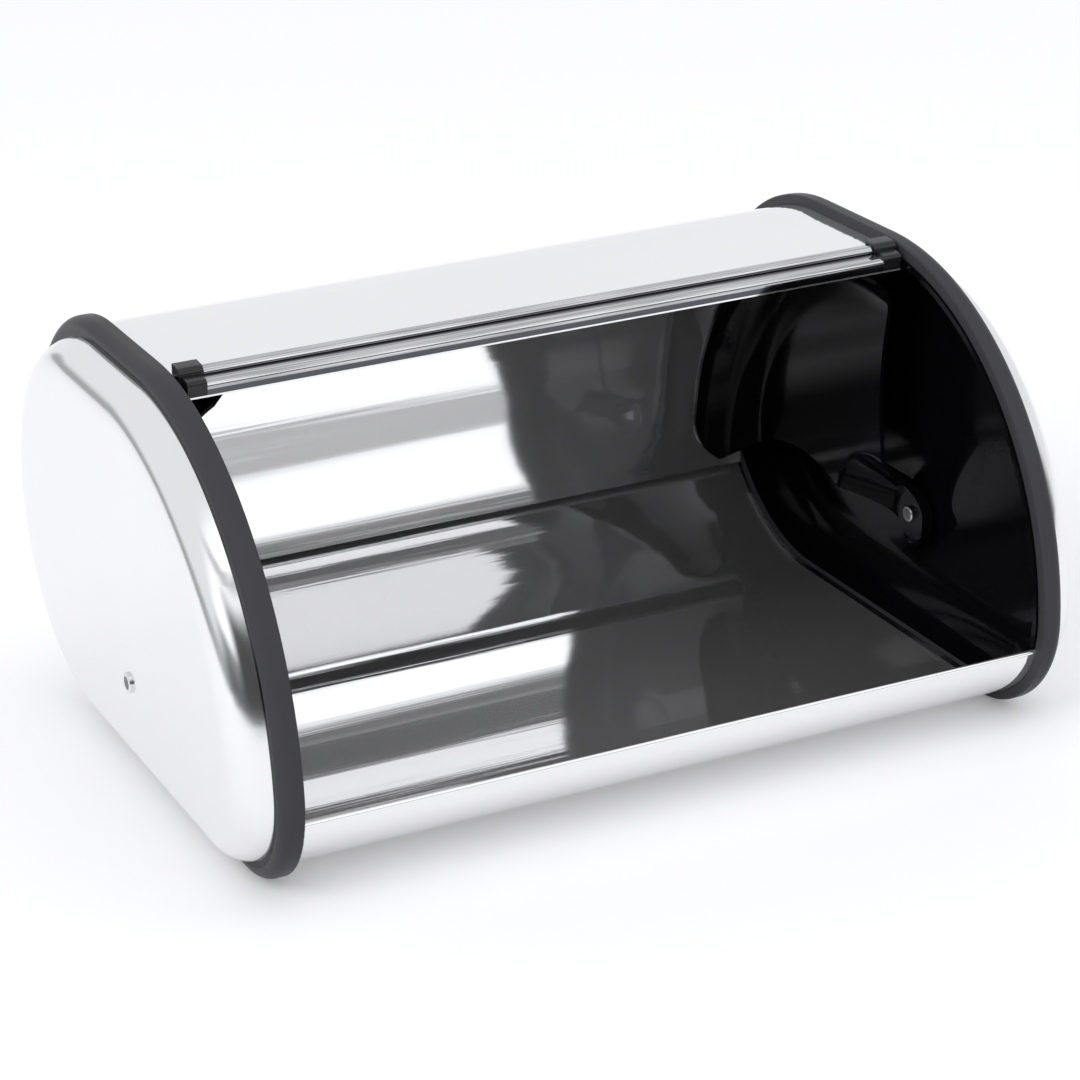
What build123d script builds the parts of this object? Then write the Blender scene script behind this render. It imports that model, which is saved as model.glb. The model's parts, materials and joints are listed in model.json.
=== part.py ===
from build123d import *
import os
from math import atan2, cos, degrees, radians, sin, sqrt, tan

os.makedirs("parts", exist_ok=True)

# Bread box with two domed ends and a curved door that rolls back inside it.
# X runs along the length, the door faces -Y, and the two end rims stand on Z = 0.
# The door is drawn open, as it stands in the photograph.

# End outline, seen from the side: every end piece and the sheet follow it
height = 187.0
depth = 291.0
front_radius = 135.0
corner_radius = 51.0
back_radius = 97.0

# Widths, measured from the middle plane to one side
rim_inner = 166.0
rim_outer = 176.0
lip_reach = 164.8
field_x = 187.0
cap_depth = 14.2

# Sheet metal
sheet = 0.8
sheet_inset = 4.5
sheet_seat = 5.8
seat_gap = 0.1
hem_radius = 1.1
fold_width = 8.0
lip_height = 37.0
handle_gap = 0.7

# End panel moulding
panel_wall = 1.6
mouth_inset = 8.0
dish_radius = 22.0
rim_round_out = 5.5
rim_round_in = 1.2
boss_radius = 7.0

# End cap pressing
cap_inset = 8.0
cap_spread = 6.0

# Door, as angles up from the front, about the pivot
door_under = 2.7
door_gap = 3.0
door_lead = 79.9
door_trail = 185.3
door_fold = 2.6

# Handle strip and its end clips
bar_height = 8.0
bar_width = 6.1
ledge_height = 5.2
ledge_width = 7.2
handle_wall = 0.8
bar_round = 2.6
ledge_round = 2.0
clip_length = 10.5
clip_past = 1.0
clip_cover = 1.0
clip_over = 1.3
clip_side = 1.0
clip_step_in = 1.2
clip_step_out = 1.0
clip_round = 3.0

# Door sides
side_wall = 1.8
side_gap = 1.0
side_curve = 24.0
side_short = 1.5
hub_radius = 17.0
hub_thick = 3.5
hub_round = 4.0
joggle_inner = 13.0
joggle_outer = 31.0
front_hollow = 13.0
rear_hollow = 28.0

# Pivot rivet and washer
rivet_radius = 2.5
bore_gap = 0.05
hole_gap = 0.1
run_gap = 0.2
washer_thick = 1.0
washer_radius = 7.0
inner_head_radius = 3.8
inner_head = 1.8
outer_head_radius = 4.5
outer_head = 1.3

# Screw through the door sheet into each clip, hidden behind the door side
clip_screw_radius = 1.2
clip_screw_head_radius = 2.6
clip_screw_head = 1.4
clip_screw_bite = 4.5

# Screws that hold the sheet to the end panels, driven up through the rims
screw_x = 170.0
screw_first_y = -70.0
screw_pitch = 60.0
screw_count = 3
screw_radius = 1.2
screw_head_radius = 2.3
screw_head = 1.6
screw_recess = 2.6
screw_bite = 7.8
recess_gap = 0.2
slot_width = 0.7
slot_depth = 0.8

# Places worked out from the sizes above
door_radius = front_radius - sheet_inset - sheet - door_under
pivot_y = front_radius - depth / 2
pivot_z = height - front_radius
lower_radius = height - back_radius
back_y = depth / 2 - back_radius
lower_y = depth / 2 - lower_radius
corner_y = pivot_y - sqrt((front_radius - corner_radius) ** 2 - (pivot_z - corner_radius) ** 2)
corner_turn = degrees(atan2(pivot_z - corner_radius, pivot_y - corner_y))
sheet_half = rim_inner + sheet_seat
panel_back = field_x + panel_wall
cap_face = rim_outer + cap_depth
door_half = rim_inner - door_gap
door_inner = door_radius - sheet
lead_turn = 180 - door_lead
trail_turn = 180 - door_trail
side_out = lip_reach - side_gap
side_in = side_out - side_wall
hub_out = field_x - washer_thick - run_gap
hub_in = hub_out - hub_thick
pivot = (pivot_y, pivot_z)
pivot_axis = Axis((0, pivot_y, pivot_z), (1, 0, 0))
bar_turn = degrees(bar_width / door_radius)
ledge_turn = degrees(ledge_width / door_radius)
bar_start = lead_turn - ledge_turn - bar_turn
step_turn = lead_turn - ledge_turn
clip_turn = degrees(clip_side / door_radius)
clip_end = door_half + clip_past
clip_start = clip_end - clip_length
handle_half = clip_start + clip_cover
top_z = height - sheet_inset
edge_rise = top_z - sheet - pivot_z
top_edge_y = pivot_y + edge_rise / tan(radians(bar_start - clip_turn)) + handle_gap
dish_curve = min(dish_radius, pivot_z - washer_radius - mouth_inset)
cap_curve = dish_curve - cap_spread
clip_middle = (clip_start + clip_end) / 2
bar_middle = bar_start + bar_turn / 2


# The closed end outline, moved inwards by inset, in a plane square to X
def draw_outline(inset):
    CenterArc(pivot, front_radius - inset, 90, 90 + corner_turn)
    corner = (corner_y, corner_radius)
    CenterArc(corner, corner_radius - inset, 180 + corner_turn, 90 - corner_turn)
    Line((corner_y, inset), (lower_y, inset))
    CenterArc((lower_y, lower_radius), lower_radius - inset, 270, 90)
    CenterArc((back_y, lower_radius), back_radius - inset, 0, 90)
    Line((back_y, height - inset), (pivot_y, height - inset))


# A point at a radius and a turn about the pivot, in the same plane
def polar_point(radius, turn):
    return (pivot_y + radius * cos(radians(turn)), pivot_z + radius * sin(radians(turn)))


# A closed ring sector about the pivot, for what moves with the door
def draw_sector(inner, outer, start, stop):
    CenterArc(pivot, outer, start, stop - start)
    CenterArc(pivot, inner, start, stop - start)
    Line(polar_point(inner, start), polar_point(outer, start))
    Line(polar_point(inner, stop), polar_point(outer, stop))


# The plane of a clip screw at a radius, looking outwards from the pivot
def clip_screw_plane(place, radius):
    middle_y, middle_z = polar_point(radius, bar_middle)
    outwards = (0, cos(radians(bar_middle)), sin(radians(bar_middle)))
    return Plane(origin=(place, middle_y, middle_z), x_dir=(1, 0, 0), z_dir=outwards)


# A block with the end outline, whose outer edge is rounded all the way round
def dished_block(inset, start, stop, radius):
    with BuildPart() as block:
        with BuildSketch(Plane.YZ.offset(start)):
            with BuildLine():
                draw_outline(inset)
            make_face()
        extrude(amount=stop - start)
        fillet(block.faces().sort_by(Axis.X)[-1].edges(), radius)
    return block.part


# The same piece for the left end
def other_side(piece, label):
    with BuildPart() as twin:
        add(piece)
        mirror(about=Plane.YZ, mode=Mode.REPLACE)
    twin.part.label = label
    return twin.part


# A piece goes to its own file
def save(piece):
    export_step(piece, "parts/" + piece.label + ".step")


# The wrapped sheet: top, back, bottom and front lip, with both front edges folded
lip_middle = corner_radius - sheet_inset - sheet / 2
hem_z = lip_height - hem_radius
hem_y = corner_y - sqrt(lip_middle**2 - (corner_radius - hem_z) ** 2)
with BuildPart() as body_shell:
    with BuildSketch(Plane.YZ.offset(-sheet_half)):
        with BuildLine():
            draw_outline(sheet_inset)
        make_face()
        with BuildLine():
            draw_outline(sheet_inset + sheet)
        make_face(mode=Mode.SUBTRACT)
        with Locations((top_edge_y + sheet, hem_z)):
            Rectangle(depth, height, align=(Align.MAX, Align.MIN), mode=Mode.SUBTRACT)
        with Locations((hem_y, hem_z)):
            Circle(hem_radius)
        with Locations((top_edge_y + sheet, top_z)):
            Rectangle(fold_width, 2 * sheet, align=(Align.MIN, Align.MAX))
        with Locations((top_edge_y + sheet, top_z - sheet)):
            Circle(sheet)
    extrude(amount=2 * sheet_half)
    with BuildSketch(Plane.XY):
        for side in (-1, 1):
            for place in range(screw_count):
                with Locations((side * screw_x, screw_first_y + place * screw_pitch)):
                    Circle(screw_radius + hole_gap)
    extrude(amount=mouth_inset, mode=Mode.SUBTRACT)
body_shell.part.label = "body_shell"
save(body_shell.part)

# End panel: a rim that is also the foot, and a deep dish inside it
dish_start = lip_reach
dish_body = dished_block(mouth_inset - panel_wall, dish_start, panel_back, dish_curve + panel_wall)
dish_space = dished_block(mouth_inset, dish_start, field_x, dish_curve)
with BuildPart() as right_end_panel:
    with BuildSketch(Plane.YZ.offset(rim_inner)):
        with BuildLine():
            draw_outline(0)
        make_face()
    extrude(amount=rim_outer - rim_inner)
    fillet(right_end_panel.faces().sort_by(Axis.X)[-1].edges(), rim_round_out)
    fillet(right_end_panel.faces().sort_by(Axis.X)[0].edges(), rim_round_in)
    with BuildSketch(Plane.YZ.offset(lip_reach)):
        with BuildLine():
            draw_outline(sheet_inset + sheet + seat_gap)
        make_face()
    extrude(amount=rim_outer - lip_reach)
    add(dish_body)
    add(dish_space, mode=Mode.SUBTRACT)
    with BuildSketch(Plane.YZ.offset(lip_reach)):
        with BuildLine():
            draw_outline(sheet_inset - seat_gap)
        make_face()
        with BuildLine():
            draw_outline(sheet_inset + sheet + seat_gap)
        make_face(mode=Mode.SUBTRACT)
        with Locations((top_edge_y - seat_gap, hem_z)):
            Rectangle(depth, height, align=(Align.MAX, Align.MIN), mode=Mode.SUBTRACT)
        with Locations((hem_y, hem_z)):
            Circle(hem_radius + seat_gap)
        with Locations((top_edge_y - seat_gap, top_z + seat_gap)):
            fold_slot = fold_width + sheet + 2 * seat_gap
            Rectangle(fold_slot, 2 * (sheet + seat_gap), align=(Align.MIN, Align.MAX))
    extrude(amount=sheet_half + seat_gap - lip_reach, mode=Mode.SUBTRACT)
    with BuildSketch(Plane.YZ.offset(panel_back)):
        with Locations(pivot):
            Circle(boss_radius)
    extrude(amount=cap_face - sheet - panel_back)
    with BuildSketch(Plane.YZ.offset(field_x)):
        with Locations(pivot):
            Circle(rivet_radius + hole_gap)
    extrude(amount=cap_face - field_x, mode=Mode.SUBTRACT)
    with BuildSketch(Plane.XY):
        with Locations(Location((screw_x, screw_first_y))):
            for place in range(screw_count):
                with Locations((0, place * screw_pitch)):
                    Circle(screw_head_radius + recess_gap)
    extrude(amount=screw_recess, mode=Mode.SUBTRACT)
    with BuildSketch(Plane.XY):
        with Locations(Location((screw_x, screw_first_y))):
            for place in range(screw_count):
                with Locations((0, place * screw_pitch)):
                    Circle(screw_radius)
    extrude(amount=screw_bite, mode=Mode.SUBTRACT)
right_end_panel.part.label = "right_end_panel"
save(right_end_panel.part)
save(other_side(right_end_panel.part, "left_end_panel"))

# End cap: a deep drawn steel cover over the outside of the panel
cap_start = cap_face - cap_curve - sheet
cap_outside = dished_block(cap_inset, cap_start, cap_face, cap_curve)
cap_space = dished_block(cap_inset + sheet, cap_start, cap_face - sheet, cap_curve - sheet)
with BuildPart() as right_end_cap:
    add(cap_outside)
    add(cap_space, mode=Mode.SUBTRACT)
    split(bisect_by=Plane.YZ.offset(rim_outer), keep=Keep.TOP)
    with BuildSketch(Plane.YZ.offset(field_x)):
        with Locations(pivot):
            Circle(rivet_radius + hole_gap)
    extrude(amount=cap_depth, mode=Mode.SUBTRACT)
right_end_cap.part.label = "right_end_cap"
save(right_end_cap.part)
save(other_side(right_end_cap.part, "left_end_cap"))

# Door sheet: an arc about the pivot, folded over along its trailing edge
with BuildPart() as door_sheet:
    with BuildSketch(Plane.YZ.offset(-door_half)):
        with BuildLine():
            draw_sector(door_inner, door_radius, trail_turn, lead_turn)
        make_face()
        with BuildLine():
            draw_sector(door_inner, door_radius + sheet, trail_turn, trail_turn + door_fold)
        make_face()
    extrude(amount=2 * door_half)
    for side in (-1, 1):
        with BuildSketch(clip_screw_plane(side * clip_middle, door_inner - sheet)):
            Circle(clip_screw_radius + hole_gap)
        extrude(amount=3 * sheet, mode=Mode.SUBTRACT)
door_sheet.part.label = "door_sheet"
save(door_sheet.part)

# Handle strip: a raised bar and a lower ledge, folded from one sheet
bar_outer = door_radius + bar_height
ledge_outer = door_radius + ledge_height
wall_turn = degrees(handle_wall / door_radius)
with BuildPart() as door_handle:
    with BuildSketch(Plane.YZ.offset(-handle_half)) as strip_outside:
        with BuildLine():
            draw_sector(door_radius, bar_outer, bar_start, step_turn)
        make_face()
        with BuildLine():
            draw_sector(door_radius, ledge_outer, step_turn, lead_turn)
        make_face()
        fillet(strip_outside.vertices().sort_by(Axis.Y)[-2:], bar_round)
        ledge_corner = strip_outside.vertices().sort_by(Axis.X)[:2].sort_by(Axis.Y)[-1]
        fillet(ledge_corner, ledge_round)
    extrude(amount=2 * handle_half)
    with BuildSketch(Plane.YZ.offset(-handle_half)) as strip_inside:
        with BuildLine():
            start, stop = bar_start + wall_turn, step_turn - wall_turn
            draw_sector(door_radius, bar_outer - handle_wall, start, stop)
        make_face()
        with BuildLine():
            start, stop = step_turn - 2 * wall_turn, lead_turn - wall_turn
            draw_sector(door_radius, ledge_outer - handle_wall, start, stop)
        make_face()
        fillet(strip_inside.vertices().sort_by(Axis.Y)[-2:], bar_round - handle_wall)
        ledge_corner = strip_inside.vertices().sort_by(Axis.X)[:2].sort_by(Axis.Y)[-1]
        fillet(ledge_corner, ledge_round - handle_wall)
    extrude(amount=2 * handle_half, mode=Mode.SUBTRACT)
door_handle.part.label = "door_handle"
save(door_handle.part)

# Clip on the end of the handle: a stepped block with a socket for the strip
clip_top = bar_outer + clip_over
clip_ledge = ledge_outer + clip_over
with BuildPart() as right_handle_clip:
    with BuildSketch(Plane.YZ.offset(clip_start)):
        with BuildLine():
            draw_sector(door_radius, clip_top, bar_start - clip_turn, step_turn + clip_turn)
        make_face()
    extrude(amount=clip_length)
    fillet(right_handle_clip.edges().filter_by(Axis.X).group_by(SortBy.DISTANCE)[-1], clip_round)
    with BuildSketch(Plane.YZ.offset(clip_start + clip_step_out)):
        with BuildLine():
            draw_sector(door_radius, clip_ledge, step_turn, lead_turn)
        make_face()
    extrude(amount=clip_length - clip_step_out - clip_step_in)
    ledge_edge = right_handle_clip.edges().filter_by(Axis.X).sort_by(Axis.Y)[:2].sort_by(Axis.Z)[-1]
    fillet(ledge_edge, ledge_round)
    with BuildSketch(Plane.YZ.offset(clip_start)):
        with BuildLine():
            draw_sector(door_radius, bar_outer, bar_start, step_turn)
        make_face()
        with BuildLine():
            draw_sector(door_radius, ledge_outer, step_turn, lead_turn)
        make_face()
    extrude(amount=clip_cover, mode=Mode.SUBTRACT)
    with BuildSketch(clip_screw_plane(clip_middle, door_radius)):
        Circle(clip_screw_radius)
    extrude(amount=clip_screw_bite, mode=Mode.SUBTRACT)
right_handle_clip.part.label = "right_handle_clip"
save(right_handle_clip.part)
save(other_side(right_handle_clip.part, "left_handle_clip"))

# Screw that draws the clip down on the door sheet, set square to the sheet
with BuildPart() as right_clip_screw:
    screw_plane = clip_screw_plane(clip_middle, door_inner - seat_gap - clip_screw_head)
    with BuildSketch(screw_plane):
        Circle(clip_screw_head_radius)
    extrude(amount=clip_screw_head)
    with BuildSketch(screw_plane):
        Circle(clip_screw_radius)
    extrude(amount=clip_screw_head + seat_gap + sheet + clip_screw_bite)
    with BuildSketch(screw_plane):
        Rectangle(3 * clip_screw_head_radius, slot_width)
    extrude(amount=slot_depth, mode=Mode.SUBTRACT)
right_clip_screw.part.label = "right_clip_screw"
save(right_clip_screw.part)
save(other_side(right_clip_screw.part, "left_clip_screw"))

# Door side: a dished sector that carries the door sheet on a hub close to the panel
curve_out = side_curve + side_wall
edge_x = side_out - curve_out
side_plane = Plane(origin=(0, pivot_y, pivot_z), x_dir=(1, 0, 0), z_dir=(0, -1, 0))
hub_front = polar_point(hub_radius, 180)
hub_foot = polar_point(hub_radius, 270)
front_top = polar_point(door_inner, lead_turn)
side_trail = trail_turn + degrees(side_short / door_inner)
rear_end = polar_point(door_inner, side_trail)
with BuildPart() as right_door_side:
    with BuildSketch(side_plane) as side_section:
        with BuildLine():
            Polyline((hub_out, 0), (hub_in, 0), (hub_in, joggle_inner), (side_in, joggle_outer))
            Line((side_in, joggle_outer), (side_in, door_inner - curve_out))
            CenterArc((edge_x, door_inner - curve_out), side_curve, 0, 90)
            Line((edge_x, door_inner - side_wall), (edge_x, door_inner))
            CenterArc((edge_x, door_inner - curve_out), curve_out, 0, 90)
            Line((side_out, door_inner - curve_out), (side_out, joggle_outer))
            Polyline((side_out, joggle_outer), (hub_out, joggle_inner + side_wall), (hub_out, 0))
        make_face()
        turns = side_section.vertices().filter_by_position(Axis.Y, joggle_inner, joggle_outer)
        fillet(turns, hub_round)
    revolve(axis=pivot_axis, revolution_arc=360)
    with BuildSketch(Plane.YZ):
        with BuildLine():
            SagittaArc(hub_front, front_top, -front_hollow)
            CenterArc(pivot, door_inner, side_trail, lead_turn - side_trail)
            SagittaArc(rear_end, hub_foot, -rear_hollow)
            CenterArc(pivot, hub_radius, 180, 90)
        make_face()
    extrude(amount=cap_face, mode=Mode.INTERSECT)
    corner_x = side_out - side_wall
    with BuildSketch(Plane.XY):
        with Locations((corner_x, front_top[0] + side_curve)):
            Rectangle(curve_out, curve_out, align=(Align.MAX, Align.MAX))
            Circle(side_curve, mode=Mode.SUBTRACT)
    extrude(amount=height, mode=Mode.SUBTRACT)
    with BuildSketch(Plane.XZ):
        with Locations((corner_x, rear_end[1] + side_curve)):
            Rectangle(curve_out, curve_out, align=(Align.MAX, Align.MAX))
            Circle(side_curve, mode=Mode.SUBTRACT)
    extrude(amount=-depth, mode=Mode.SUBTRACT)
    with BuildSketch(Plane.YZ):
        with Locations(pivot):
            Circle(rivet_radius + bore_gap)
    extrude(amount=cap_face, mode=Mode.SUBTRACT)
right_door_side.part.label = "right_door_side"
save(right_door_side.part)
save(other_side(right_door_side.part, "left_door_side"))

# Pivot rivet: a shaft through the hub, panel and cap, with a round head at each end
inner_head_x = hub_in - run_gap - inner_head
with BuildPart() as right_pivot_rivet:
    with BuildSketch(Plane.YZ.offset(inner_head_x)):
        with Locations(pivot):
            Circle(inner_head_radius)
    extrude(amount=inner_head)
    fillet(right_pivot_rivet.faces().sort_by(Axis.X)[0].edges(), inner_head / 2)
    with BuildSketch(Plane.YZ.offset(inner_head_x + inner_head / 2)):
        with Locations(pivot):
            Circle(rivet_radius)
    extrude(amount=cap_face + outer_head / 2 - inner_head_x - inner_head / 2)
    with BuildSketch(Plane.YZ.offset(cap_face)):
        with Locations(pivot):
            Circle(outer_head_radius)
    extrude(amount=outer_head)
    fillet(right_pivot_rivet.faces().sort_by(Axis.X)[-1].edges(), outer_head / 2)
right_pivot_rivet.part.label = "right_pivot_rivet"
save(right_pivot_rivet.part)
save(other_side(right_pivot_rivet.part, "left_pivot_rivet"))

# Washer between the hub and the panel
with BuildPart() as right_pivot_washer:
    with BuildSketch(Plane.YZ.offset(field_x - washer_thick)):
        with Locations(pivot):
            Circle(washer_radius)
            Circle(rivet_radius + hole_gap, mode=Mode.SUBTRACT)
    extrude(amount=washer_thick)
right_pivot_washer.part.label = "right_pivot_washer"
save(right_pivot_washer.part)
save(other_side(right_pivot_washer.part, "left_pivot_washer"))

# Screws in the foot of the rim, one group for each end
with BuildPart() as right_panel_screws:
    for place in range(screw_count):
        screw_y = screw_first_y + place * screw_pitch
        with BuildSketch(Plane.XY.offset(screw_recess - screw_head)):
            with Locations((screw_x, screw_y)):
                Circle(screw_head_radius)
        extrude(amount=screw_head)
        with BuildSketch(Plane.XY.offset(screw_recess - screw_head / 2)):
            with Locations((screw_x, screw_y)):
                Circle(screw_radius)
        extrude(amount=screw_bite - screw_recess + screw_head / 2)
        with BuildSketch(Plane.XY.offset(screw_recess - screw_head)):
            with Locations((screw_x, screw_y)):
                Rectangle(3 * screw_head_radius, slot_width)
        extrude(amount=slot_depth, mode=Mode.SUBTRACT)
right_panel_screws.part.label = "right_panel_screws"
save(right_panel_screws.part)
save(other_side(right_panel_screws.part, "left_panel_screws"))
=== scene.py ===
import bpy
import json
from math import radians, sin, cos
from mathutils import Matrix, Vector


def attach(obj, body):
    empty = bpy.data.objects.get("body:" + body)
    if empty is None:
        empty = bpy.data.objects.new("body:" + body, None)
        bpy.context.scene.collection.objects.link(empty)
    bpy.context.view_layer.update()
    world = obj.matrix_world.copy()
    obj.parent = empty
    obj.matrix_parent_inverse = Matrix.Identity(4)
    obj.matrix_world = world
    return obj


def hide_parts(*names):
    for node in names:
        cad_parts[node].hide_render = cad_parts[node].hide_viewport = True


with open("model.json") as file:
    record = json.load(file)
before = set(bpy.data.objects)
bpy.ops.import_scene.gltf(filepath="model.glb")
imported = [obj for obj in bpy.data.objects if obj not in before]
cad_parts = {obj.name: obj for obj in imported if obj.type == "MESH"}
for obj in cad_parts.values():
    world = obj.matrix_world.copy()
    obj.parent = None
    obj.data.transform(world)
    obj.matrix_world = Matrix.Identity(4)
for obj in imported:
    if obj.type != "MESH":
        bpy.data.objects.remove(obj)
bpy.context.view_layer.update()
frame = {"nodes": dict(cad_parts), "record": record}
nodes = frame["nodes"]
behaviour = frame["record"]["behaviour"]
bodyOf = {name: body for body, members in behaviour["bodies"].items() for name in members}
pivotPlace = behaviour["joints"][0]["pos_m"]
print("frame loaded:", len(nodes), "pieces")


def deselectAll():
    for item in bpy.context.selected_objects:
        item.select_set(False)


# Small helpers for shader trees
def addNode(tree, kind, **values):
    node = tree.nodes.new(kind)
    for name, value in values.items():
        if name in node.inputs:
            node.inputs[name].default_value = value
        else:
            setattr(node, name, value)
    return node


def link(tree, source, target):
    tree.links.new(source, target)


def feed(tree, value, target):  # a number or a colour is set, and a socket is linked
    if isinstance(value, (float, tuple)):
        target.default_value = value
    else:
        link(tree, value, target)


def calculate(tree, operation, *values):
    node = addNode(tree, "ShaderNodeMath", operation=operation)
    for value, target in zip(values, node.inputs):
        feed(tree, value, target)
    return node.outputs["Value"]


def rescale(tree, source, start, end, low, high, kind="LINEAR"):
    node = addNode(tree, "ShaderNodeMapRange", interpolation_type=kind)
    for name, value in (("From Min", start), ("From Max", end), ("To Min", low), ("To Max", high)):
        node.inputs[name].default_value = value
    link(tree, source, node.inputs["Value"])
    return node.outputs["Result"]


def fade(tree, source, start, end, low, high):
    return rescale(tree, source, start, end, low, high, "SMOOTHSTEP")


def mixNumbers(tree, factor, first, second):
    node = addNode(tree, "ShaderNodeMix", data_type="FLOAT")
    for place, value in ((0, factor), (2, first), (3, second)):
        feed(tree, value, node.inputs[place])
    return node.outputs[0]


def mixColours(tree, factor, first, second):
    node = addNode(tree, "ShaderNodeMix", data_type="RGBA")
    slots = [socket for socket in node.inputs if socket.type == "RGBA"]
    for target, value in ((node.inputs[0], factor), (slots[0], first), (slots[1], second)):
        feed(tree, value, target)
    return [socket for socket in node.outputs if socket.type == "RGBA"][0]


def opaque(colour):
    return (*colour, 1.0)


def startMaterial(name):
    material = bpy.data.materials.new(name)
    material.use_nodes = True
    tree = material.node_tree
    return material, tree, tree.nodes["Principled BSDF"]


# Place of a point as seen from the door's pivot, with its length along the box left out
def fromPivot(tree):
    place = addNode(tree, "ShaderNodeTexCoord")
    flat = addNode(tree, "ShaderNodeVectorMath", operation="MULTIPLY_ADD")
    flat.inputs[1].default_value = (0.0, 1.0, 1.0)
    flat.inputs[2].default_value = (0.0, -pivotPlace[1], -pivotPlace[2])
    reach = addNode(tree, "ShaderNodeVectorMath", operation="LENGTH")
    link(tree, place.outputs["Object"], flat.inputs[0])
    link(tree, flat.outputs["Vector"], reach.inputs[0])
    return flat.outputs["Vector"], reach.outputs["Value"]


# A group of noises in Object coordinates. Each row is an output, the input that scales it,
# its first scale, its detail and how far it is drawn out along the box.
def buildNoiseGroup(name, rough, rows):
    group = bpy.data.node_groups.new(name, "ShaderNodeTree")
    face = group.interface
    for output, scaleInput, scale, detail, squash in rows:
        socket = face.new_socket(scaleInput, in_out="INPUT", socket_type="NodeSocketFloat")
        socket.default_value = scale
        face.new_socket(output, in_out="OUTPUT", socket_type="NodeSocketFloat")
    start = addNode(group, "NodeGroupInput")
    end = addNode(group, "NodeGroupOutput")
    place = addNode(group, "ShaderNodeTexCoord")
    for output, scaleInput, scale, detail, squash in rows:
        mapping = addNode(group, "ShaderNodeMapping", Scale=(squash, 1.0, 1.0))
        noise = addNode(group, "ShaderNodeTexNoise", Detail=detail, Roughness=rough)
        link(group, place.outputs["Object"], mapping.inputs["Vector"])
        link(group, mapping.outputs["Vector"], noise.inputs["Vector"])
        link(group, start.outputs[scaleInput], noise.inputs["Scale"])
        link(group, noise.outputs["Fac"], end.inputs[output])
    return group


# Grain of rolled sheet: long bands along the length, fine polishing lines and a few smears
sheetGrain = buildNoiseGroup("sheetGrain", 0.55, (
    ("Bands", "Band Scale", 40.0, 4.0, 0.02),
    ("Lines", "Line Scale", 900.0, 3.0, 0.02),
    ("Smear", "Smear Scale", 14.0, 5.0, 0.6)))
# Skin of moulded plastic: a fine orange peel and a faint bloom
plasticSkin = buildNoiseGroup("plasticSkin", 0.5, (
    ("Peel", "Peel Scale", 260.0, 1.5, 1.0),
    ("Bloom", "Bloom Scale", 18.0, 4.0, 1.0)))

# The part of a noise's range that carries roughness from its smoothest to its roughest
noiseRange = {"low": 0.3, "high": 0.7}


def addRoughness(tree, source, values):
    return rescale(tree, source, noiseRange["low"], noiseRange["high"],
                   values["smooth"], values["rough"])


def addGrain(tree, values):
    grain = addNode(tree, "ShaderNodeGroup", node_tree=sheetGrain)
    grain.inputs["Band Scale"].default_value = values["bandScale"]
    grain.inputs["Line Scale"].default_value = values["lineScale"]
    grain.inputs["Smear Scale"].default_value = values["smearScale"]
    return grain.outputs


# Polished steel
def makeSteel(name, values):
    material, tree, shader = startMaterial(name)
    grain = addGrain(tree, values)
    shader.inputs["Metallic"].default_value = values["metal"]
    colour = mixColours(tree, grain[values["tintBy"]], opaque(values["dark"]),
                        opaque(values["light"]))
    link(tree, colour, shader.inputs["Base Color"])
    link(tree, addRoughness(tree, grain["Smear"], values), shader.inputs["Roughness"])
    height = calculate(tree, "MULTIPLY_ADD", grain["Lines"], values["lineHeight"], grain["Bands"])
    bump = addNode(tree, "ShaderNodeBump", Strength=values["bump"], Distance=values["bandHeight"])
    link(tree, height, bump.inputs["Height"])
    link(tree, bump.outputs["Normal"], shader.inputs["Normal"])
    return material


# Moulded plastic. Where a rim sheen colour is given, the faces marked as rim are satin, and lighter
# in colour as painted sheen.
def makePlastic(name, values):
    material, tree, shader = startMaterial(name)
    shader.inputs["Specular IOR Level"].default_value = values["gloss"]
    skin = addNode(tree, "ShaderNodeGroup", node_tree=plasticSkin)
    skin.inputs["Peel Scale"].default_value = values["peelScale"]
    skin.inputs["Bloom Scale"].default_value = values["bloomScale"]
    colour = mixColours(tree, skin.outputs["Bloom"], opaque(values["dark"]),
                        opaque(values["light"]))
    roughness = addRoughness(tree, skin.outputs["Bloom"], values)
    if "rimSheenColour" in values:
        mark = addNode(tree, "ShaderNodeAttribute", attribute_name="rimFace").outputs["Fac"]
        # The rim's lighter colour is painted sheen; its satin roughness is real
        colour = mixColours(tree, mark, colour, opaque(values["rimSheenColour"]))
        roughness = mixNumbers(tree, mark, roughness, values["rimRough"])
    link(tree, colour, shader.inputs["Base Color"])
    link(tree, roughness, shader.inputs["Roughness"])
    bump = addNode(tree, "ShaderNodeBump", Strength=values["bump"], Distance=values["peelHeight"])
    link(tree, skin.outputs["Peel"], bump.inputs["Height"])
    link(tree, bump.outputs["Normal"], shader.inputs["Normal"])
    return material


sheetSteel = {"dark": (0.90, 0.90, 0.905), "light": (0.95, 0.95, 0.955), "tintBy": "Smear",
              "smooth": 0.03, "rough": 0.06, "metal": 0.9,
              "bandScale": 60.0, "lineScale": 2600.0, "smearScale": 14.0,
              "lineHeight": 0.012, "bump": 0.16, "bandHeight": 0.0012}
capSteel = {"dark": (0.83, 0.83, 0.835), "light": (0.89, 0.89, 0.895), "tintBy": "Smear",
            "smooth": 0.11, "rough": 0.19, "metal": 0.97,
            "bandScale": 9.0, "lineScale": 1400.0, "smearScale": 10.0,
            "lineHeight": 0.02, "bump": 0.05, "bandHeight": 0.0012}
# Handle steel: its colour runs from near black to white along fine lines, partly grain and partly
# painted streaky reflections
handleSteel = {"dark": (0.05, 0.05, 0.07), "light": (1.0, 1.0, 1.0), "tintBy": "Lines",
               "smooth": 0.04, "rough": 0.08, "metal": 0.97,
               "bandScale": 30.0, "lineScale": 900.0, "smearScale": 20.0,
               "lineHeight": 0.05, "bump": 0.05, "bandHeight": 0.0005}
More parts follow.
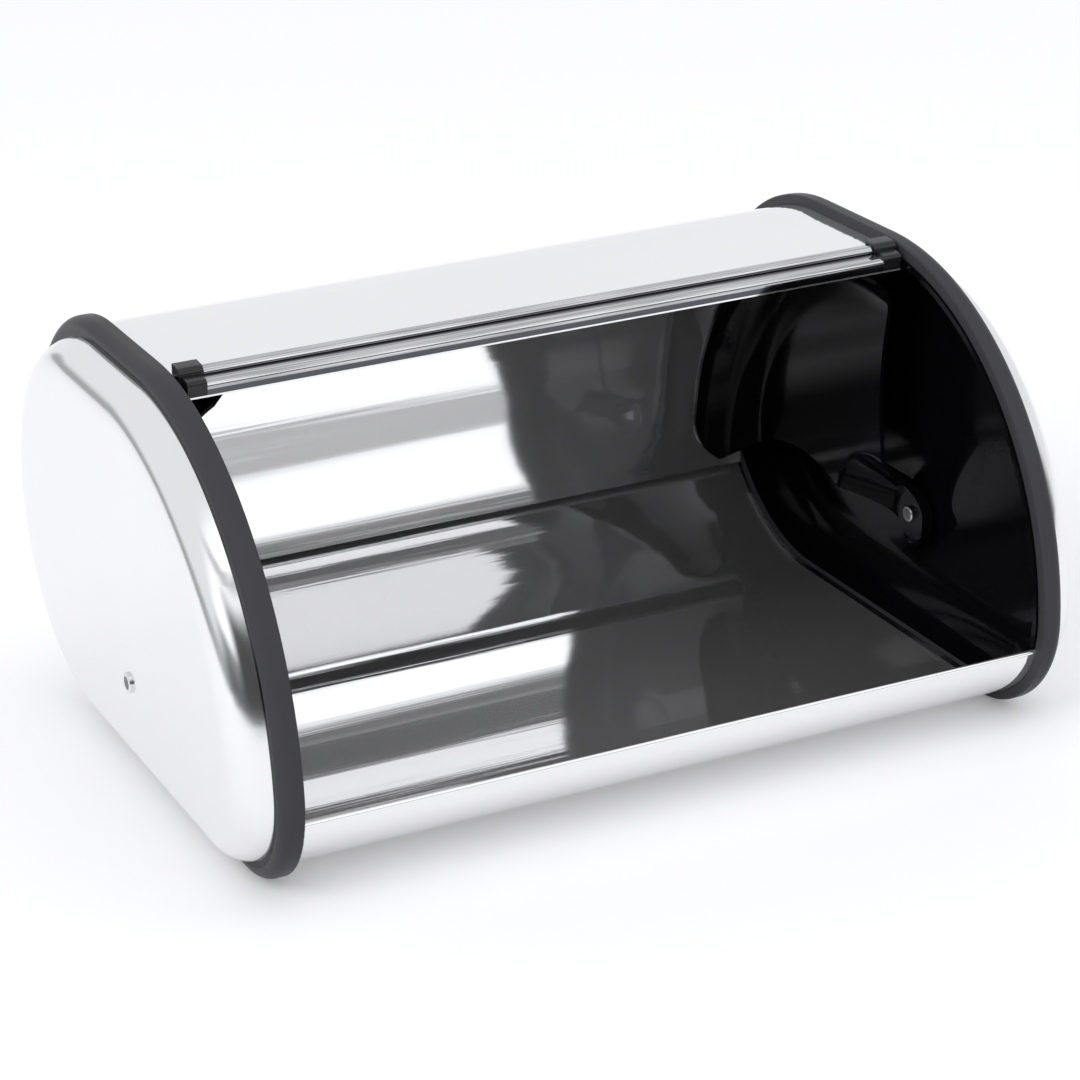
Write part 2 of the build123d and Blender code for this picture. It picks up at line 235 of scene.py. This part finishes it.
fixingSteel = {"dark": (0.5, 0.5, 0.51), "light": (0.66, 0.66, 0.67), "tintBy": "Smear",
               "smooth": 0.18, "rough": 0.3, "metal": 1.0,
               "bandScale": 200.0, "lineScale": 1500.0, "smearScale": 90.0,
               "lineHeight": 0.1, "bump": 0.1, "bandHeight": 0.0002}
glossBlack = {"dark": (0.002, 0.002, 0.003), "light": (0.004, 0.004, 0.005),
              "smooth": 0.07, "rough": 0.14, "gloss": 0.05,
              "peelScale": 260.0, "bloomScale": 18.0, "bump": 0.04, "peelHeight": 0.0002,
              "rimSheenColour": (0.055, 0.055, 0.06), "rimRough": 0.36}
clipBlack = {"dark": (0.008, 0.008, 0.009), "light": (0.016, 0.016, 0.017),
             "smooth": 0.2, "rough": 0.3, "gloss": 0.4,
             "peelScale": 700.0, "bloomScale": 60.0, "bump": 0.12, "peelHeight": 0.0002}
washerWhite = {"dark": (0.7, 0.7, 0.67), "light": (0.78, 0.78, 0.75),
               "smooth": 0.4, "rough": 0.5, "gloss": 0.4,
               "peelScale": 500.0, "bloomScale": 60.0, "bump": 0.1, "peelHeight": 0.0002}

# Rivet: a steel ring round a dark spot of painted shade that stands for its bore, which the
# solid head doesn't have; the two are told apart by the distance from the pivot
rivetValues = {**fixingSteel, "dark": (0.72, 0.72, 0.73), "light": (0.84, 0.84, 0.85),
               "boreShade": (0.02, 0.02, 0.022), "boreRadius": 0.0029, "edge": 0.0004}


def makeRivet(name, values):
    material, tree, shader = startMaterial(name)
    grain = addGrain(tree, values)
    flat, reach = fromPivot(tree)
    ring = fade(tree, reach, values["boreRadius"] - values["edge"],
                values["boreRadius"] + values["edge"], 0.0, 1.0)
    steel = mixColours(tree, grain["Smear"], opaque(values["dark"]), opaque(values["light"]))
    # The dark spot in the middle is painted shade, not a hole
    face = mixColours(tree, ring, opaque(values["boreShade"]), steel)
    link(tree, face, shader.inputs["Base Color"])
    link(tree, ring, shader.inputs["Metallic"])
    link(tree, addRoughness(tree, grain["Smear"], values), shader.inputs["Roughness"])
    return material


# Handle strip: drawn steel with fine light and dark lines along it in its colour, partly its grain
# and partly painted streaky reflections, and painted shade on its back wall, at its step and along
# its lower edge. Each band of painted shade is a range of degrees about the pivot and of distances
# from it.
foldShadeValues = {"colour": (0.1, 0.1, 0.115), "turnEdge": 0.1, "reachEdge": 0.0003,
              "shadedFolds": ((94.0, 94.75, 0.126, 0.140), (96.3, 97.2, 0.126, 0.1331),
                        (98.8, 102.0, 0.126, 0.1296))}


def addFoldShade(material, values):
    tree = material.node_tree
    baseColour = tree.nodes["Principled BSDF"].inputs["Base Color"]
    flat, reach = fromPivot(tree)
    parts = addNode(tree, "ShaderNodeSeparateXYZ")
    link(tree, flat, parts.inputs["Vector"])
    turn = calculate(tree, "ARCTAN2", parts.outputs["Z"], parts.outputs["Y"])
    turn = calculate(tree, "DEGREES", turn)
    # Mask of the painted shade in the strip's folds
    shadeMask = 0.0
    for first, last, low, high in values["shadedFolds"]:
        inside = 1.0
        for source, edge, start, end in ((turn, values["turnEdge"], first, last),
                                         (reach, values["reachEdge"], low, high)):
            for middle, before, after in ((start, 0.0, 1.0), (end, 1.0, 0.0)):
                limit = fade(tree, source, middle - edge, middle + edge, before, after)
                inside = calculate(tree, "MULTIPLY", inside, limit)
        shadeMask = calculate(tree, "MAXIMUM", shadeMask, inside)
    steel = baseColour.links[0].from_socket
    link(tree, mixColours(tree, shadeMask, steel, opaque(values["colour"])), baseColour)
    return material


finishOf = {
    "end_cap": makeSteel("polishedCap", capSteel),
    "pivot_rivet": makeRivet("rivetSteel", rivetValues),
    "panel_screws": makeSteel("screwSteel", fixingSteel),
    "end_panel": makePlastic("glossPanel", glossBlack),
    "door_side": makePlastic("glossDoorSide", glossBlack),
    "handle_clip": makePlastic("clipPlastic", clipBlack),
    "pivot_washer": makePlastic("washerPlastic", washerWhite),
}
finishOf["clip_screw"] = finishOf["panel_screws"]
finishes = {side + "_" + part: finish for part, finish in finishOf.items()
            for side in ("left", "right")}
finishes["body_shell"] = makeSteel("polishedSheet", sheetSteel)
finishes["door_sheet"] = makeSteel("polishedDoor", sheetSteel)
finishes["door_handle"] = addFoldShade(makeSteel("polishedStrip", handleSteel), foldShadeValues)
print("materials ready for", len(finishes), "pieces")


# Marks the faces of an end panel's rim, which are satin and carry the painted sheen: those that
# look outwards, and the ring that faces the sheet
rimValues = {"start": 0.1658, "ring": 0.1668, "middle": 0.09, "outward": 0.05}


def markRim(mesh):
    mark = mesh.attributes.new("rimFace", "FLOAT", "FACE")
    for face in mesh.polygons:
        across = abs(face.center.x)
        outward = Vector((0.0, face.center.y, face.center.z - rimValues["middle"])).normalized()
        looksOut = outward.dot(face.normal) > rimValues["outward"]
        onRing = across < rimValues["ring"] and face.normal.x * face.center.x < 0.0
        isRim = across > rimValues["start"] and (looksOut or onRing)
        mark.data[face.index].value = 1.0 if isRim else 0.0


# A merged copy of a CAD node, so that its curves reflect without facets
smoothValues = {"merge": 0.000002, "angle": 24.0}


def smoothPiece(name, values):
    piece = bpy.data.objects.new(name + "_skin", nodes[name].data.copy())
    bpy.context.scene.collection.objects.link(piece)
    deselectAll()
    piece.select_set(True)
    bpy.context.view_layer.objects.active = piece
    bpy.ops.mesh.customdata_custom_splitnormals_clear()
    bpy.ops.object.mode_set(mode="EDIT")
    bpy.ops.mesh.select_all(action="SELECT")
    bpy.ops.mesh.remove_doubles(threshold=values["merge"])
    bpy.ops.object.mode_set(mode="OBJECT")
    bpy.ops.object.shade_smooth_by_angle(angle=radians(values["angle"]), keep_sharp_edges=False)
    weighted = piece.modifiers.new("weighted", "WEIGHTED_NORMAL")
    weighted.keep_sharp = True
    weighted.mode = "FACE_AREA_WITH_ANGLE"
    bpy.ops.object.modifier_apply(modifier=weighted.name)
    if name.endswith("end_panel"):
        markRim(piece.data)
    piece.data.materials.clear()
    piece.data.materials.append(finishes[name])
    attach(piece, bodyOf[name])
    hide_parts(name)


for name in nodes:
    smoothPiece(name, smoothValues)
print("pieces smoothed:", len(nodes))

# White floor that keeps the shadow; a faint glow lifts it to paper white
floorValues = {"size": 12.0, "parts": 8, "height": -0.0002, "colour": (0.90, 0.90, 0.915),
               "rough": 0.6, "gloss": 0.1, "glowColour": (1.0, 1.0, 1.0), "glow": 0.14}
deselectAll()
bpy.ops.mesh.primitive_grid_add(x_subdivisions=floorValues["parts"],
                                y_subdivisions=floorValues["parts"], size=floorValues["size"],
                                location=(0.0, 0.0, floorValues["height"]))
floor = bpy.context.object
floor.name = "paleFloor"
bpy.ops.object.transform_apply(location=True, rotation=True, scale=True)
material, tree, shader = startMaterial("paleFloor")
shader.inputs["Base Color"].default_value = opaque(floorValues["colour"])
shader.inputs["Roughness"].default_value = floorValues["rough"]
shader.inputs["Specular IOR Level"].default_value = floorValues["gloss"]
shader.inputs["Emission Color"].default_value = opaque(floorValues["glowColour"])
path = addNode(tree, "ShaderNodeLightPath").outputs
seen = calculate(tree, "MAXIMUM", path["Is Camera Ray"], path["Is Glossy Ray"])
glow = calculate(tree, "MULTIPLY", seen, floorValues["glow"])
link(tree, glow, shader.inputs["Emission Strength"])
floor.data.materials.append(material)
print("floor ready")

# World: white to the camera, even light on all that isn't polished, and a studio for what
# mirrors it. Its front, behind the camera, has screens and a dark room round the camera.
worldValues = {"colour": (0.97, 0.975, 1.0), "light": 0.85, "backSky": 0.9, "frontSky": 1.4,
               "frontStart": 0.45, "frontEnd": 0.05,
               "horizon": 0.45, "horizonEdge": 0.12, "horizonLeft": 0.07, "horizonRight": -0.2,
               "horizonTurn": (-0.25, 0.0),
               "room": 0.04, "roomLeft": -0.75, "roomRight": 0.2, "roomTop": 0.75,
               "roomEdge": 0.25}
# Brightness of the studio's front by height: the screens and the gaps between them
frontHeights = ((0.0, 0.07), (0.185, 0.07), (0.205, 0.2), (0.225, 0.2), (0.245, 0.09),
                (0.275, 0.12), (0.36, 1.0), (0.7, 1.0), (0.74, 0.42), (0.79, 0.42), (0.83, 1.0))
world = bpy.data.worlds.new("studio")
bpy.context.scene.world = world
world.use_nodes = True
tree = world.node_tree
background = tree.nodes["Background"]
background.inputs["Color"].default_value = opaque(worldValues["colour"])
place = addNode(tree, "ShaderNodeTexCoord")
direction = addNode(tree, "ShaderNodeSeparateXYZ")
link(tree, place.outputs["Generated"], direction.inputs["Vector"])
across, back, upwards = (direction.outputs[axis] for axis in "XYZ")


def brightnessByHeight(tree, source, stops):
    node = addNode(tree, "ShaderNodeValToRGB")
    marks = node.color_ramp.elements
    while len(marks) < len(stops):
        marks.new(0.5)
    for mark, (height, value) in zip(marks, stops):
        mark.position = height
    for mark, (height, value) in zip(marks, stops):
        mark.color = (value, value, value, 1.0)
    link(tree, source, node.inputs["Fac"])
    return node.outputs["Color"]


# Behind the box: white above a soft dark horizon, which only shows on the left
horizon = fade(tree, across, *worldValues["horizonTurn"],
               worldValues["horizonLeft"], worldValues["horizonRight"])
aboveHorizon = calculate(tree, "SUBTRACT", upwards, horizon)
backWhite = fade(tree, aboveHorizon, 0.0, worldValues["horizonEdge"], worldValues["horizon"], 1.0)
behindBox = calculate(tree, "MULTIPLY", backWhite, worldValues["backSky"])
# In front of it: the screens, and the dark room
edge = worldValues["roomEdge"]
roomLeft = fade(tree, across, worldValues["roomLeft"], worldValues["roomLeft"] + edge, 0.0, 1.0)
roomRight = fade(tree, across, worldValues["roomRight"] - edge, worldValues["roomRight"], 1.0, 0.0)
roomTop = fade(tree, upwards, worldValues["roomTop"] - edge, worldValues["roomTop"], 1.0, 0.0)
room = calculate(tree, "MULTIPLY", calculate(tree, "MULTIPLY", roomLeft, roomRight), roomTop)
screens = calculate(tree, "MULTIPLY", brightnessByHeight(tree, upwards, frontHeights),
                    worldValues["frontSky"])
inFront = mixNumbers(tree, room, screens, worldValues["room"])
towardsFront = fade(tree, back, -worldValues["frontStart"], -worldValues["frontEnd"], 1.0, 0.0)
mirrored = mixNumbers(tree, towardsFront, behindBox, inFront)
path = addNode(tree, "ShaderNodeLightPath").outputs
lit = mixNumbers(tree, path["Is Glossy Ray"], worldValues["light"], mirrored)
link(tree, mixNumbers(tree, path["Is Camera Ray"], lit, 1.0), background.inputs["Strength"])
print("world ready")

# Lamps, which the polished steel doesn't mirror
lampValues = {"aim": (0.0, 0.0, 0.1),
              "lamps": (("key", (-1.9, -0.9, 1.9), 1.4, 20.0),
                        ("fill", (1.8, -0.6, 2.0), 1.6, 5.0))}
for name, place, size, power in lampValues["lamps"]:
    lamp = bpy.data.lights.new(name, "AREA")
    lamp.size = size
    lamp.energy = power
    holder = bpy.data.objects.new(name, lamp)
    bpy.context.scene.collection.objects.link(holder)
    holder.location = place
    holder.visible_glossy = False
    towards = Vector(lampValues["aim"]) - Vector(place)
    holder.rotation_euler = towards.to_track_quat("-Z", "Y").to_euler()
print("lamps ready")

# Camera
cameraValues = {"turn": -24.52, "rise": 21.8, "roll": -2.23,
                "place": (-0.55745, -1.22678, 0.61141), "lens": 111.84, "sensor": 36.0}
turn, rise, roll = (radians(cameraValues[key]) for key in ("turn", "rise", "roll"))
right = Vector((cos(turn), sin(turn), 0.0))
ahead = Vector((-sin(turn) * cos(rise), cos(turn) * cos(rise), -sin(rise)))
up = right.cross(ahead)
rightRolled = right * cos(roll) + up * sin(roll)
upRolled = up * cos(roll) - right * sin(roll)
axes = Matrix((rightRolled, upRolled, -ahead)).transposed().to_4x4()
camera = bpy.data.cameras.new("camera")
camera.lens = cameraValues["lens"]
camera.sensor_width = cameraValues["sensor"]
holder = bpy.data.objects.new("camera", camera)
bpy.context.scene.collection.objects.link(holder)
holder.matrix_world = Matrix.Translation(cameraValues["place"]) @ axes
bpy.context.scene.camera = holder
bpy.context.scene.view_settings.view_transform = "Standard"
print("camera ready")
